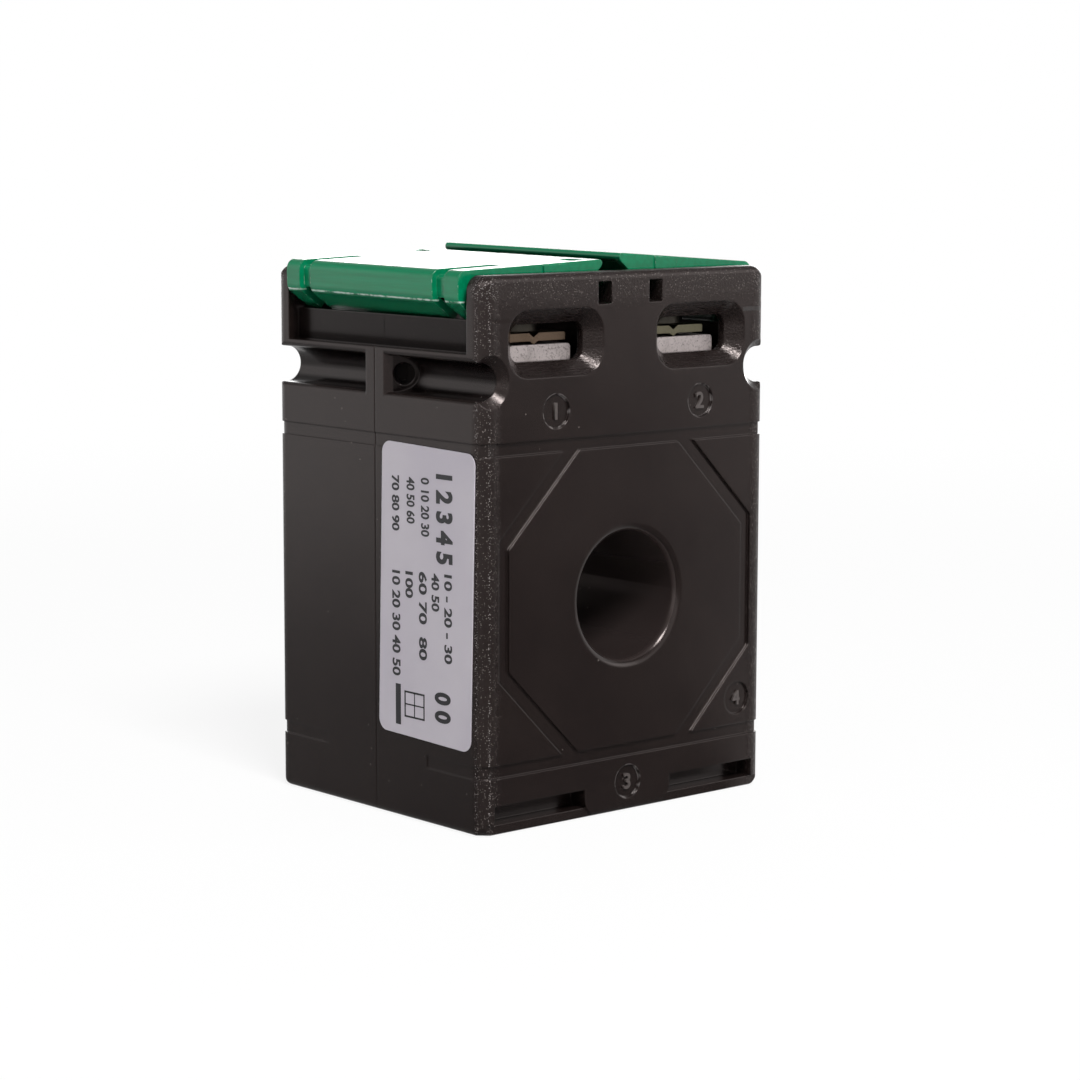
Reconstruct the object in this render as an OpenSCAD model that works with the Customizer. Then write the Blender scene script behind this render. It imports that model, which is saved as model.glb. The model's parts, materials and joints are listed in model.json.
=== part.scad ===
// Window-type current transformer in a two-part moulded housing with hinged terminal covers.
// X runs across the front, Y goes back, Z is up; the origin is under the middle of the base.

/* [Housing] */
// Width across the front
housing_w = 45; // [44:0.5:60]
// Depth from the front face to the rear face
housing_d = 38.8; // [36:0.2:56]
// Height to the top of the end plates
housing_h = 63.8; // [62.8:0.2:80]
// Radius of the upright corners
corner_r = 1.8; // [1:0.1:2.4]
// Radius of the end plates' top corners
crown_r = 1.8; // [0.8:0.1:2.4]
// Rounding of the top edges
top_edge_r = 0.8; // [0.3:0.1:1.2]
// Rounding of the base's edges
base_edge_r = 0.9; // [0.3:0.1:1.2]
// Rounding of the ends of the upright edges at the top
ball_top_r = 1.6; // [1.2:0.1:1.8]
// Rounding of the ends of the upright edges at the base
ball_base_r = 1.3; // [1.2:0.1:1.8]
// Wall round the core chamber
wall = 1.8; // [1.5:0.1:2.5]
// Thickness of the upright end plates
plate_t = 2.7; // [2.4:0.1:3.2]
// Chamfer of the line where the two shells meet
seam = 0.12; // [0.05:0.01:0.3]

/* [Bore] */
// Radius of the conductor bore
bore_r = 7.6; // [6:0.1:8]
// Distance of the bore's axis below the middle of the core chamber
bore_drop = 0.4; // [0:0.1:0.8]
// Rounding of the bore's mouth
bore_lip_r = 1; // [0.4:0.1:1.2]
// Wall of the tube that lines the bore
bore_wall = 1.4; // [1:0.1:1.6]

/* [Face relief] */
// Distance from the octagonal panel to the side faces
panel_side = 4.05; // [3.2:0.05:5]
// Half height of the octagonal panel
panel_half_h = 17.65; // [16:0.05:18]
// Length cut from each corner of the panel, along each side
panel_chamfer = 10.6; // [8:0.1:12]
// Width of the upright channel beside the panel
channel_w = 1.5; // [1:0.05:2]
// Width across the slanting channels, measured level
channel_slant = 2.5; // [2:0.1:3]
// Depth of the channels in the front and rear faces
channel_depth = 0.35; // [0.2:0.05:0.6]
// Depth of the channels in the side faces
side_channel_depth = 0.12; // [0.05:0.01:0.3]
// Length of the middle of each side face that the low channel skips
side_break = 18.9; // [10:0.1:24]
// Radius of the round marks
mark_r = 2; // [1.5:0.05:2.4]
// Depth of the round marks
mark_depth = 0.3; // [0.1:0.05:0.5]
// Distance from the top down to the terminal marks
mark_drop = 15.65; // [15.2:0.05:16]

/* [Foot slots] */
// Half width of the tab between the foot slots
tab_half_w = 6.8; // [5:0.1:9]
// Rounding of the tab's lower corners
tab_r = 2.4; // [1:0.1:3]
// Distance from a foot slot to the side face
slot_side = 1.9; // [1.5:0.1:4]
// Height of the sill under a foot slot
sill_h = 1.25; // [0.8:0.05:1.6]
// Height of a foot slot
slot_h = 2.2; // [1.6:0.1:2.6]
// Depth of a foot slot
slot_depth = 2.5; // [1.5:0.1:4]
// Depth that the sill is set back
sill_back = 0.3; // [0.1:0.05:0.6]

/* [Side grooves] */
// Distance from the top down to the accessory grooves
groove_drop = 11.9; // [11.7:0.05:12.2]
// Radius of a groove
groove_r = 2.15; // [1.8:0.05:2.3]
// Depth of a groove
groove_depth = 2.95; // [2.4:0.05:3.1]
// Rounding of a groove's lips
groove_lip_r = 0.6; // [0.3:0.05:0.7]
// Chamfer of a groove's mouth at the end faces
groove_mouth = 1.1; // [0.6:0.05:1.2]
// Width of the rib that parts the front and rear grooves
rib_w = 3.3; // [2.6:0.1:4.5]
// Radius of the hole in a groove's slanting end
rib_hole_r = 1.2; // [0.8:0.05:1.25]
// Depth of that hole
rib_hole_depth = 2; // [1:0.1:2.2]
// Distance from the side face in to that hole's middle
rib_hole_in = 1.7; // [1.5:0.05:1.8]

/* [Terminal chamber] */
// Distance from the top down to the ledge under the cover's skirt
ledge_drop = 8.85; // [8.6:0.05:8.9]
// Distance that the chamber's side wall is set in
wall_inset = 1.5; // [1.3:0.1:1.6]
// Thickness of the side wall's lip
lip_t = 0.7; // [0.5:0.05:0.8]
// Distance from the top down to the side wall's lip
lip_drop = 5.1; // [5.05:0.05:5.6]
// Thickness of the side wall below its lip
chamber_wall = 2; // [1.4:0.1:2.2]
// Half thickness of the wall between the chambers
divider_half_t = 1; // [0.6:0.1:1.2]
// Distance from the top down to the wall between the chambers
divider_drop = 1.2; // [0.9:0.1:3.8]

/* [Terminals] */
// Distance from a terminal's middle to the nearer side face
terminal_side = 11.1; // [10.9:0.1:11.5]
// Distance from the top down to a terminal bar's underside
seat_drop = 10.2; // [10.1:0.05:10.3]
// Width of a terminal bar
bar_w = 9.2; // [8:0.1:9.6]
// Thickness of a terminal bar
bar_t = 2; // [1.6:0.05:2.2]
// Rounding of a bar's long edges
bar_edge_r = 0.45; // [0.2:0.05:0.7]
// Width of a clamp plate
clamp_w = 8.6; // [7:0.1:9]
// Length of a clamp plate
clamp_l = 8.2; // [7.4:0.1:9]
// Thickness of a clamp plate
clamp_t = 0.95; // [0.8:0.05:1.1]
// Depth of the pressed rib under a clamp plate
clamp_rib = 0.35; // [0.2:0.05:0.5]
// Distance that the left clamp plates sit off their screws, to the right
left_clamp_shift = -0.2; // [-0.4:0.05:0.4]
// Distance that the right clamp plates sit off their screws, to the right
right_clamp_shift = -1; // [-1:0.05:0.4]
// Distance from an end plate to the middle of a screw
screw_in = 5.8; // [5.6:0.1:6]
// Radius of a screw's thread
screw_r = 2; // [1.5:0.05:2.2]
// Radius of a screw's head
head_r = 3.6; // [3:0.1:3.7]
// Height of a screw's head
head_h = 2.6; // [2:0.1:2.8]
// Length of a screw below its head
screw_l = 6.2; // [5:0.1:6.4]
// Lift of a clamp when its screw is undone
clamp_lift = 1.8; // [1:0.1:1.9]

/* [Wire windows] */
// Width of a window at the face
window_w = 14.5; // [12:0.1:15]
// Height of a window at the face
window_h = 7.8; // [7:0.1:8]
// Distance from the top down to a window's middle
window_drop = 7.85; // [7.7:0.05:7.9]
// Corner radius of a window at the face
window_r = 3; // [2.4:0.1:3.4]
// Depth of the 45 degree funnel
funnel = 1.75; // [1.2:0.05:1.8]
// Distance from the middle to the near side of a catch window
catch_x = 2.95; // [2.6:0.05:3.2]
// Width of a catch window
catch_w = 2.1; // [1.5:0.05:2.2]
// Distance from the top down to a catch window's lower edge
catch_drop = 3.7; // [3.5:0.05:3.8]
// Height of a catch window
catch_h = 2.6; // [2:0.1:2.7]

/* [Covers] */
// Distance that a closed cover stands above the end plates
cover_rise = 0.7; // [0.5:0.05:1]
// Distance that a cover stands out past the side face
cover_proud = 0.5; // [0.3:0.05:0.6]
// Rise of a cover towards the rear, as an angle
cover_tilt = 0.55; // [0:0.05:0.6]
// Wall of a cover
cover_t = 0.9; // [0.7:0.05:1]
// Gap from an end plate to a cover centred between the plates
cover_end_gap = 0.65; // [0.55:0.05:0.9]
// Distance that the covers sit back from the middle
cover_shift = 0.2; // [0:0.05:0.3]
// Gap from a cover's inner end to the middle
cover_gap = 1.2; // [1.1:0.1:2]
// Rounding of a cover's outer top edge
cover_r = 1.2; // [0.9:0.1:1.6]
// Distance from the top down to where a cover's skirt turns inwards
crease_drop = 2.8; // [2.7:0.05:2.9]
// Rounding of the skirt where it turns inwards
crease_r = 1.3; // [1:0.1:1.5]
// Fall of the skirt's slanting lip for each unit inwards
lip_slope = 0.776; // [0.74:0.002:0.8]
// Length of the skirt's slanting lip
lip_l = 4; // [3:0.1:4.1]
// Distance from the top down to the end skirts' lower edge
end_skirt_drop = 3.4; // [3.2:0.1:3.6]
// Distance of each slot's middle from the cover's end
slot_in = 3.55; // [3.4:0.05:4]
// Width of a cover's slots
slot_w = 2.1; // [1.5:0.1:2.4]
// Distance that a slot runs in over the top from the side face
slot_over = 8.2; // [6:0.1:10]
// Thickness of the rib behind each slot
slot_back_t = 0.4; // [0.3:0.05:0.6]
// Depth of the upper part of a slot
slot_groove = 0.7; // [0.5:0.05:0.75]
// Distance from the top down to where a slot goes right through
slot_open_drop = 2.5; // [2.2:0.1:2.6]
// Distance from the side face to a hinge axis
hinge_in = 2.5; // [2.4:0.05:2.7]
// Distance from the top down to the hinge axes
hinge_drop = 2; // [1.9:0.05:2.2]
// Radius of a hinge pin
pin_r = 1; // [0.8:0.05:1.1]
// Length of a hinge pin inside its hole
pin_bite = 1.3; // [0.8:0.1:1.4]
// Radial clearance of hinge pins and screws in their holes
running_gap = 0.05; // [0.03:0.01:0.08]
// Opening angle of the left cover as it rests
left_ajar = 2.1; // [0:0.1:6]
// Opening angle of the right cover as it rests
right_ajar = 4.2; // [0:0.1:6]

/* [Core] */
// Gap between the bore's tube and the wound core
tube_gap = 0.2; // [0.1:0.05:1]
// Least gap between the core chamber's walls and the wound core
core_gap = 0.9; // [0.3:0.1:2]
// Thickness of a core pad
pad_t = 3.65; // [2:0.05:5]
// Thickness of the core's insulation
insulation_t = 0.4; // [0.2:0.05:0.6]
// Thickness of the secondary winding
winding_t = 1.5; // [0.8:0.1:1.6]
// Thickness of the tape over the winding
tape_t = 0.35; // [0.2:0.05:0.5]
// Opening left in each wrap round the core
wrap_slit = 0.5; // [0.3:0.1:1]
// Radius of a lead wire
lead_r = 0.7; // [0.4:0.05:0.9]

/* [Rating label] */
// Distance from the label to the front corner, and three quarters of it to the seam
label_margin = 1.5; // [1.2:0.05:3]
// Height of the label
label_h = 34.2; // [28:0.1:34.4]
// Thickness of the label
label_t = 0.12; // [0.08:0.01:0.2]
// Corner radius of the label
label_r = 1.4; // [0.5:0.1:3]
// Distance of the label's middle above the bore's axis
label_up = 1.15; // [1:0.05:1.3]
// Turn of the label on its face
label_turn = 1.4; // [-2:0.1:2]

/* [Hidden] */

$fn = 48;
eps = 0.05;
half_w = housing_w / 2;
half_d = housing_d / 2;
plate_in_y = half_d - plate_t;
fit_gap = 0.05;
corner_reach = (half_w + half_d - 2 * corner_r) * cos(45) + corner_r + 0.03;

// Heights that follow the top
groove_z = housing_h - groove_drop;
chamber_roof = groove_z - groove_r - 2.15;
chamber_floor = sill_h + slot_h + 1.35;
bore_z = (chamber_floor + chamber_roof) / 2 - bore_drop;
mark_z = housing_h - mark_drop;
ledge_z = housing_h - ledge_drop;
lip_z = housing_h - lip_drop;
divider_z = housing_h - divider_drop;
seat_z = housing_h - seat_drop;
window_z = housing_h - window_drop;
catch_z = housing_h - catch_drop;
cover_top = housing_h + cover_rise;
crease_z = housing_h - crease_drop;
end_skirt_z = housing_h - end_skirt_drop;
slot_open_z = housing_h - slot_open_drop;
hinge_z = housing_h - hinge_drop;

// Places that follow the side faces and the end plates
terminal_x = half_w - terminal_side;
side_wall_x = half_w - wall_inset;
chamber_x = side_wall_x - chamber_wall;
panel_half_w = half_w - panel_side;
slot_reach = half_w - slot_side;
slot_end_x = half_w - slot_over;
hinge_x = half_w - hinge_in;
cover_x = half_w + cover_proud;
screw_y = plate_in_y - screw_in;
cover_l = 2 * (plate_in_y - cover_end_gap);
slot_y = cover_l / 2 - slot_in;
panel_sum = panel_half_w + panel_half_h - panel_chamfer;

// Clamps
clamp_gap = clamp_rib + 0.03;
clamp_z = seat_z + bar_t + clamp_gap;
head_z = clamp_z + clamp_t + fit_gap;
pocket_z = head_z - screw_l - 0.9;
pocket_half_w = bar_w / 2 - 1.6;

// Core, wraps and the chamber that they fill
tube_r = bore_r + bore_wall;
insulation_g = fit_gap + insulation_t;
winding_g = insulation_g + fit_gap + winding_t;
tape_g = winding_g + fit_gap + tape_t;
chamber_room = min(half_w - wall, bore_z - chamber_floor, chamber_roof - bore_z);
bundle_r = chamber_room - core_gap;
core_outer_r = bundle_r - tape_g;
core_inner_r = tube_r + tube_gap + tape_g;
bundle_half_l = half_d - wall - pad_t - fit_gap;
core_l = 2 * (bundle_half_l - tape_g);

// Label
label_w = half_d - 1.75 * label_margin;
label_y = label_margin + label_w / 2;
label_z = bore_z + label_up;

charcoal = [0.13, 0.12, 0.12];
emerald = [0.05, 0.45, 0.27];
steel = [0.72, 0.71, 0.7];
brassy = [0.62, 0.55, 0.42];

// Housing ---------------------------------------------------------------

// Front half of the housing seen from above, set in by the two insets.
module half_plan(side_inset = 0, face_inset = 0) {
    w = half_w - side_inset;
    d = half_d - face_inset;
    difference() {
        union() {
            translate([-w, -d + corner_r]) square([2 * w, d - corner_r]);
            translate([-w + corner_r, -d]) square([2 * (w - corner_r), d]);
            for (s = [-1, 1]) translate([s * (w - corner_r), -d + corner_r]) circle(corner_r);
        }
        for (s = [-1, 1]) scale([s, 1])
            polygon([[w, -seam], [w - seam, 0], [w + 1, 1], [w + 1, -seam]]);
    }
}

// A slab with rounded top and bottom corners, seen along the extrusion.
module crowned(w, h, r, b = base_edge_r) {
    translate([-w / 2, b]) square([w, h - r - b]);
    translate([-w / 2 + r, b]) square([w - 2 * r, h - b]);
    translate([-w / 2 + b, 0]) square([w - 2 * b, h / 2]);
    for (s = [-1, 1]) {
        translate([s * (w / 2 - r), h - r]) circle(r);
        translate([s * (w / 2 - b), b]) circle(b);
    }
}

// Extrudes an X-Z outline along Y, from y0 back to y1.
module along_y(y0, y1) {
    translate([0, y1, 0]) rotate([90, 0, 0]) linear_extrude(y1 - y0) children();
}

module half_block() {
    intersection() {
        linear_extrude(housing_h) half_plan();
        along_y(-half_d, 0) crowned(housing_w, housing_h, crown_r);
        rotate([90, 0, 90]) translate([0, 0, -half_w]) linear_extrude(housing_w)
            crowned(housing_d, housing_h, top_edge_r);
        rotate([0, 0, 45]) along_y(-housing_w, housing_w)
            crowned(2 * corner_reach, housing_h, ball_top_r, ball_base_r);
        rotate([0, 0, -45]) along_y(-housing_w, housing_w)
            crowned(2 * corner_reach, housing_h, ball_top_r, ball_base_r);
    }
}

// Octagon with sides at a and b from the middle and its corners cut at |x| + |z| = s.
module octagon(a, b, s) {
    polygon([[a, s - a], [s - b, b], [b - s, b], [-a, s - a],
        [-a, a - s], [b - s, -b], [s - b, -b], [a, a - s]]);
}

// Channels in the front face: a ring round the panel and two level bands.
module face_channels() {
    translate([0, bore_z]) {
        difference() {
            octagon(panel_half_w + channel_w, panel_half_h + channel_w, panel_sum + channel_slant);
            octagon(panel_half_w, panel_half_h, panel_sum);
        }
        for (z = [panel_half_h, -panel_half_h - channel_w])
            translate([corner_r / 2 - half_w, z]) square([housing_w - corner_r, channel_w]);
    }
}

// The level bands carried round the corners and along the sides.
module side_channels() {
    for (high = [0, 1])
        translate([0, 0, bore_z + (high ? panel_half_h : -panel_half_h - channel_w)])
            linear_extrude(channel_w) difference() {
                translate([-half_w - 1, -half_d - 1])
                    square([housing_w + 2, high ? half_d + 1 : half_d + 1 - side_break / 2]);
                half_plan(side_channel_depth, channel_depth / 2);
            }
}

// Outline of the right-hand foot slot and its sill, cut off by the round-cornered tab.
module foot_slot(z0, z1, reach) {
    difference() {
        translate([tab_half_w - tab_r, z0]) square([reach - tab_half_w + tab_r, z1 - z0]);
        translate([0, -1]) square([tab_half_w - tab_r, z1 + 2]);
        translate([0, tab_r]) square([tab_half_w, z1 + 1]);
        translate([tab_half_w - tab_r, tab_r]) circle(tab_r);
    }
}

// Outline of the right-hand groove with rounded lips.
module groove_outline() {
    x = half_w - groove_depth + groove_r;
    h = sqrt(pow(groove_r + groove_lip_r, 2) - pow(half_w - x - groove_lip_r, 2));
    translate([x, groove_z]) circle(groove_r);
    for (s = [-1, 1]) difference() {
        polygon([[half_w + 1, groove_z + s * h], [half_w - groove_lip_r, groove_z + s * h], [x, groove_z],
            [half_w + 1, groove_z]]);
        translate([half_w - groove_lip_r, groove_z + s * h]) circle(groove_lip_r);
    }
}

// The front part of the right-hand groove, with a slanting end at the rib and the hole in that end.
module groove() {
    floor_x = half_w - groove_depth;
    rib_y = -rib_w / 2;
    intersection() {
        along_y(-half_d - 1, rib_y) groove_outline();
        translate([0, 0, groove_z - housing_w / 2]) linear_extrude(housing_w)
            polygon([[floor_x - 1, -half_d - 1], [floor_x - 1, rib_y - groove_depth - 1],
                [half_w + 1, rib_y + 1], [half_w + 1, -half_d - 1]]);
    }
    translate([half_w - rib_hole_in, rib_y - rib_hole_in, groove_z]) rotate([0, 0, 135]) rotate([0, 90, 0]) {
        translate([0, 0, -1]) cylinder(h = 1 + rib_hole_depth, r = rib_hole_r);
        translate([0, 0, -eps]) cylinder(h = 0.2, r1 = rib_hole_r + 0.2, r2 = rib_hole_r);
    }
    translate([floor_x + groove_r, -half_d - eps, groove_z]) rotate([-90, 0, 0])
        cylinder(h = groove_mouth, r1 = groove_r + groove_mouth, r2 = groove_r);
}

// 45 degree funnel with cone corners, opening towards -Y from the plane y = 0.
module funnel_cut(w, h, r, depth) {
    x = w / 2 - r;
    z = h / 2 - r;
    for (sx = [-1, 1], sz = [-1, 1]) translate([sx * x, 0, sz * z]) rotate([-90, 0, 0])
        cylinder(h = depth, r1 = r, r2 = r - depth);
    translate([0, 0, -z]) linear_extrude(2 * z)
        polygon([[-w / 2, 0], [w / 2, 0], [w / 2 - depth, depth], [depth - w / 2, depth]]);
    rotate([90, 0, 90]) translate([0, 0, -x]) linear_extrude(2 * x)
        polygon([[0, -h / 2], [0, h / 2], [depth, h / 2 - depth], [depth, depth - h / 2]]);
}

module round_rect(w, h, r) {
    translate([-w / 2 + r, -h / 2]) square([w - 2 * r, h]);
    translate([-w / 2, -h / 2 + r]) square([w, h - 2 * r]);
    for (sx = [-1, 1], sz = [-1, 1]) translate([sx * (w / 2 - r), sz * (h / 2 - r)]) circle(r);
}

// Wire window at the right-hand terminal: a funnel, then a straight opening.
module wire_window() {
    translate([terminal_x, -half_d, window_z]) funnel_cut(window_w, window_h, window_r, funnel);
    along_y(-half_d, -plate_in_y + eps) translate([terminal_x, window_z])
        round_rect(window_w - 2 * funnel, window_h - 2 * funnel, window_r - funnel);
}

// Outline of the right-hand terminal chamber and the step for the cover's skirt.
module chamber_outline() {
    lip_in_x = side_wall_x - lip_t;
    polygon([[divider_half_t, seat_z], [chamber_x, seat_z], [chamber_x, lip_z - 1.8],
        [lip_in_x, lip_z - 1], [lip_in_x, lip_z], [side_wall_x, lip_z], [side_wall_x, ledge_z],
        [half_w + 1, ledge_z], [half_w + 1, housing_h + 1], [divider_half_t, housing_h + 1]]);
}

// Rounded mouth of the bore at the front face.
module bore_mouth() {
    translate([0, -half_d, bore_z]) rotate([-90, 0, 0]) rotate_extrude() difference() {
        square([bore_r + bore_lip_r, bore_lip_r]);
        translate([bore_r + bore_lip_r, bore_lip_r]) circle(bore_lip_r);
    }
}

module round_mark(x, z) {
    along_y(-half_d - 1, -half_d + mark_depth) translate([x, z]) circle(mark_r);
}

// One shell: the front half of the housing, open at the back.
module shell() {
    chamber_front = -half_d + wall;
    difference() {
        half_block();
        along_y(-half_d - 1, -half_d + channel_depth) face_channels();
        side_channels();
        along_y(-half_d - 1, 1) translate([0, bore_z]) circle(bore_r);
        bore_mouth();
        difference() {
            translate([-half_w + wall, chamber_front, chamber_floor])
                cube([housing_w - 2 * wall, half_d, chamber_roof - chamber_floor]);
            along_y(-half_d, 1) translate([0, bore_z]) circle(tube_r);
        }
        for (s = [0, 1]) mirror([s, 0, 0]) {
            along_y(-half_d - 1, -half_d + slot_depth) foot_slot(sill_h, sill_h + slot_h, slot_reach);
            along_y(-half_d - 1, -half_d + sill_back) foot_slot(-1, sill_h + eps, half_w + 1);
            groove();
            wire_window();
            along_y(-plate_in_y, 1) chamber_outline();
            along_y(-half_d - 1, -plate_in_y + eps) translate([catch_x, catch_z]) square([catch_w, catch_h]);
            along_y(-plate_in_y - pin_bite - 0.2, 0)
                translate([hinge_x, hinge_z]) circle(pin_r + running_gap);
            translate([terminal_x - pocket_half_w, -plate_in_y + wall, pocket_z])
                cube([2 * pocket_half_w, half_d, seat_z - pocket_z + eps]);
            translate([terminal_x, 0, chamber_roof - eps])
                cylinder(h = pocket_z - chamber_roof + 1, r = lead_r + 0.4);
            round_mark(terminal_x, mark_z);
        }
        along_y(-plate_in_y, 1) translate([-divider_half_t - eps, divider_z])
            square([2 * (divider_half_t + eps), housing_h]);
        round_mark(0, sill_h + mark_r + 0.3);
        round_mark(slot_reach - mark_r - 0.6, bore_z - panel_half_h + mark_r + 1.2);
    }
}

module front_shell() { color(charcoal) shell(); }
module rear_shell() { color(charcoal) mirror([0, 1, 0]) shell(); }

// Covers ----------------------------------------------------------------

// Everything inside the right-hand cover's outline, set in by o; the slanting lip runs on past its end.
module cover_fill(o) {
    slant = atan(lip_slope);
    x = cover_x - o;
    z = cover_top - o;
    r = max(cover_r - o, 0.1);
    rc = max(crease_r - o, 0.1);
    cx = cover_x - crease_r;
    cz = crease_z + crease_r * tan((90 - slant) / 2);
    tx = cx + rc * sin(slant);
    tz = cz - rc * cos(slant);
    polygon([[0, z], [x - r, z], [x, z - r], [x, cz], [tx, tz],
        [tx - 8 * cos(slant), tz - 8 * sin(slant)], [0, tz - 8 * sin(slant)]]);
    translate([x - r, z - r]) circle(r);
    translate([cx, cz]) circle(rc);
}

// Region above the end of the slanting lip.
module lip_limit() {
    slant = atan(lip_slope);
    translate([cover_x, crease_z]) rotate(slant) translate([-lip_l, -housing_h]) square(2 * housing_h);
}

// Outline of the cover's top, side skirt and lip, with a rounded inner end.
module cover_wall() {
    intersection() {
        difference() {
            cover_fill(0);
            cover_fill(cover_t);
            square([cover_gap + cover_t / 2, housing_h * 2]);
        }
        union() {
            lip_limit();
            translate([0, hinge_z + 1]) square([cover_x, cover_top]);
        }
    }
    translate([cover_gap + cover_t / 2, cover_top - cover_t / 2]) circle(cover_t / 2);
}

// Outline of the cover's end skirts, with a boss round the hinge and a slanting inner edge.
module cover_end() {
    knee_x = cover_gap + 2.1;
    intersection() {
        cover_fill(0);
        union() {
            polygon([[cover_gap + cover_t / 2, cover_top], [cover_gap + 0.2, cover_top - cover_t],
                [knee_x, cover_top - cover_t - 1.4], [knee_x, end_skirt_z], [cover_x, end_skirt_z],
                [cover_x, cover_top]]);
            translate([hinge_x, hinge_z]) circle(hinge_z - end_skirt_z + 0.8);
        }
    }
    cover_wall();
}

// Outline of the rib behind a slot: it follows the side skirt on the inside.
module slot_backing() {
    intersection() {
        difference() {
            cover_fill(cover_t / 2);
            cover_fill(slot_groove + slot_back_t);
        }
        translate([hinge_x, slot_open_z]) square([cover_x, cover_top]);
    }
}

// A closed right-hand cover without its tilt and its hinge pins.
module cover_body() {
    y0 = -cover_l / 2 + cover_shift;
    y1 = cover_l / 2 + cover_shift;
    hole_l = 3;
    pad_x = 6.8;
    difference() {
        union() {
            along_y(y0, y1) cover_wall();
            along_y(y0, y0 + cover_t) cover_end();
            along_y(y1 - cover_t, y1) cover_end();
            for (e = [[y0 - 0.2, y0], [y1, y1 + 0.2]]) along_y(e[0], e[1])
                polygon([[pad_x, cover_top - 0.1], [pad_x + 3.6, cover_top - 0.1],
                    [pad_x + 3.3, end_skirt_z + 0.3], [pad_x + 0.3, end_skirt_z + 0.3]]);
            for (e = [[y0 - 0.3, y0], [y1, y1 + 0.3]]) along_y(e[0], e[1])
                translate([catch_x + 0.15, end_skirt_z + 0.3]) square([catch_w - 0.3, 0.9]);
            for (s = [-1, 1]) {
                back_y = cover_shift + s * slot_y;
                along_y(back_y - slot_w / 2 - 0.6, back_y + slot_w / 2 + 0.6) slot_backing();
            }
        }
        for (s = [-1, 1]) {
            slot_mid = cover_shift + s * slot_y;
            along_y(slot_mid - slot_w / 2, slot_mid + slot_w / 2) difference() {
                translate([slot_end_x, 0]) square([half_w, cover_top + 1]);
                translate([0, slot_open_z]) intersection() {
                    square([half_w, cover_top]);
                    translate([0, -slot_open_z]) cover_fill(slot_groove);
                }
                square([hinge_x - 3, slot_open_z]);
            }
            hole_y = cover_shift + s * (cover_l / 2 - cover_t - hole_l / 2);
            translate([catch_x, hole_y - hole_l / 2, cover_top - 2])
                cube([catch_w, hole_l, 3]);
        }
    }
}

// A closed right-hand cover in the part's own frame, with its hinge pins.
module closed_cover() {
    translate([0, cover_shift, hinge_z]) rotate([cover_tilt, 0, 0]) translate([0, -cover_shift, -hinge_z])
        cover_body();
    pin_in = cover_l / 2 - cover_t / 2;
    along_y(-plate_in_y - pin_bite, cover_shift - pin_in) translate([hinge_x, hinge_z]) circle(pin_r);
    along_y(cover_shift + pin_in, plate_in_y + pin_bite) translate([hinge_x, hinge_z]) circle(pin_r);
}

// Turns a closed right-hand cover open about its hinge.
module open_cover(angle) {
    translate([hinge_x, 0, hinge_z]) rotate([0, angle, 0]) translate([-hinge_x, 0, -hinge_z]) closed_cover();
}

module cover_left() { color(emerald) mirror([1, 0, 0]) open_cover(left_ajar); }
module cover_right() { color(emerald) open_cover(right_ajar); }

// Terminals -------------------------------------------------------------

// Bar of the right-hand terminal, with a hole for each screw.
module terminal_bar() {
    bar_l = 2 * (plate_in_y - 0.2);
    difference() {
        along_y(-bar_l / 2, bar_l / 2)
            translate([terminal_x, seat_z + bar_t / 2]) round_rect(bar_w, bar_t, bar_edge_r);
        for (s = [-1, 1]) translate([terminal_x, s * screw_y, seat_z - 1])
            cylinder(h = bar_t + 2, r = screw_r + running_gap);
    }
}

// Clamp plate at the front of the terminal at x, with a rib pressed into its underside.
module clamp_plate(x, shift) {
    rib_x = -0.5;
    y0 = -plate_in_y + 0.5;
    difference() {
        along_y(y0, y0 + clamp_l) translate([x + shift, clamp_z])
            polygon([[-clamp_w / 2, 0], [rib_x - 0.6, 0],
            [rib_x, -clamp_rib], [rib_x + 0.6, 0], [clamp_w / 2, 0], [clamp_w / 2, clamp_t - 0.15],
            [clamp_w / 2 - 0.2, clamp_t], [rib_x + 0.75, clamp_t], [rib_x, clamp_t - 0.5],
            [rib_x - 0.75, clamp_t], [0.2 - clamp_w / 2, clamp_t], [-clamp_w / 2, clamp_t - 0.15]]);
        translate([x, -screw_y, clamp_z - 1]) cylinder(h = clamp_t + 2, r = screw_r + 0.15);
    }
}

// Pan-head screw at the front of the terminal at x, with a cross and a slot in its head.
module terminal_screw(x) {
    bevel = 0.5;
    slot = [0.9, 2 * head_r + 1];
    translate([x, -screw_y, head_z]) difference() {
        union() {
            translate([0, 0, -screw_l]) cylinder(h = screw_l + eps, r = screw_r);
            cylinder(h = head_h - bevel, r = head_r);
            translate([0, 0, head_h - bevel]) cylinder(h = bevel, r1 = head_r, r2 = head_r - bevel);
        }
        translate([-slot[0] / 2, -slot[1] / 2, head_h - 1]) cube([slot[0], slot[1], 2]);
        translate([-head_r * 0.62, -0.5, head_h - 1.5]) cube([head_r * 1.24, 1, 3]);
        translate([-0.5, -head_r * 0.62, head_h - 1.5]) cube([1, head_r * 1.24, 3]);
    }
}

module terminal_bar_left() { color(steel) mirror([1, 0, 0]) terminal_bar(); }
module terminal_bar_right() { color(steel) terminal_bar(); }
module clamp_plate_left_front() { color(brassy) clamp_plate(-terminal_x, left_clamp_shift); }
module clamp_plate_right_front() { color(brassy) clamp_plate(terminal_x, right_clamp_shift); }
module clamp_plate_left_rear() { mirror([0, 1, 0]) clamp_plate_left_front(); }
module clamp_plate_right_rear() { mirror([0, 1, 0]) clamp_plate_right_front(); }
module terminal_screw_left_front() { color(steel) terminal_screw(-terminal_x); }
module terminal_screw_right_front() { color(steel) terminal_screw(terminal_x); }
module terminal_screw_left_rear() { color(steel) mirror([0, 1, 0]) terminal_screw(-terminal_x); }
module terminal_screw_right_rear() { color(steel) mirror([0, 1, 0]) terminal_screw(terminal_x); }

// Core and winding ------------------------------------------------------

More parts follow.
